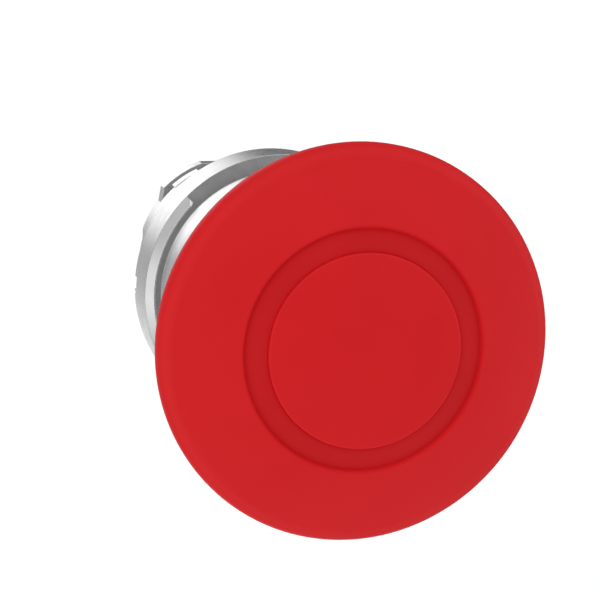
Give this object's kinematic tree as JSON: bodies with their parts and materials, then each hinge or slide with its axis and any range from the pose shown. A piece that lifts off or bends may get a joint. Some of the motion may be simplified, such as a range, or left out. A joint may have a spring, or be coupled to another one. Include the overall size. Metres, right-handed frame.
{
  "type": "emergency stop button",
  "caption": "Emergency stop head: red push-pull mushroom with a ring groove on a chromed round bezel, with a bayonet barrel for a 22 mm panel hole.",
  "frame": {"origin": "where the button's axis crosses the panel's front face, which is the plane of the flange's rear face", "axes": "+Z along the button's axis, out of the panel to the operator; +Y up on a vertical panel; +X to the operator's right"},
  "size_m": [0.04, 0.04, 0.0531],
  "materials": {
    "red_plastic": "satin moulded polyamide",
    "chromed_zamak": "satin chrome on die-cast zinc",
    "black_rubber": "nitrile rubber",
    "white_acetal": "natural acetal",
    "black_acetal": "moulded black acetal",
    "hard_steel": "turned and hardened",
    "spring_steel": "drawn spring wire",
    "zinc_plated_steel": "bright zinc plating"
  },
  "bodies": {
    "housing": {"bezel_body": "chromed_zamak", "panel_gasket": "black_rubber", "wiper_seal": "black_rubber", "seal_retainer": "zinc_plated_steel", "guide_sleeve": "white_acetal", "sleeve_dowel": "hard_steel", "latch_cage": "black_acetal", "latch_spring_right": "spring_steel", "latch_spring_left": "spring_steel", "spring_seat": "zinc_plated_steel", "return_spring": "spring_steel", "rear_plate": "zinc_plated_steel", "retaining_ring": "zinc_plated_steel"},
    "plunger": {"mushroom_cap": "red_plastic", "cap_centre_disc": "red_plastic", "cap_screw": "zinc_plated_steel", "lock_washer": "zinc_plated_steel", "cap_seal_ring": "black_rubber", "neck_sleeve": "black_acetal", "plunger_stem": "hard_steel", "actuator_pusher": "black_acetal", "e_clip": "zinc_plated_steel"},
    "right_latch": {"latch_pin_right": "hard_steel"},
    "left_latch": {"latch_pin_left": "hard_steel"}
  },
  "joints": [
    {"name": "plunger_slide", "type": "slide", "parent": "housing", "child": "plunger", "axis": [0, 0, 1], "range_m": [-0.0055, 0], "deforming": ["return_spring", "latch_spring_right", "latch_spring_left"]},
    {"name": "right_latch_slide", "type": "slide", "parent": "housing", "child": "right_latch", "axis": [1, 0, 0], "range_m": [0, 0.0011]},
    {"name": "left_latch_slide", "type": "slide", "parent": "housing", "child": "left_latch", "axis": [-1, 0, 0], "range_m": [0, 0.0011]}
  ],
  "couplings": [
    {"joint": "right_latch_slide", "follows": "plunger_slide", "ratio": -0.2},
    {"joint": "left_latch_slide", "follows": "plunger_slide", "ratio": -0.2}
  ]
}
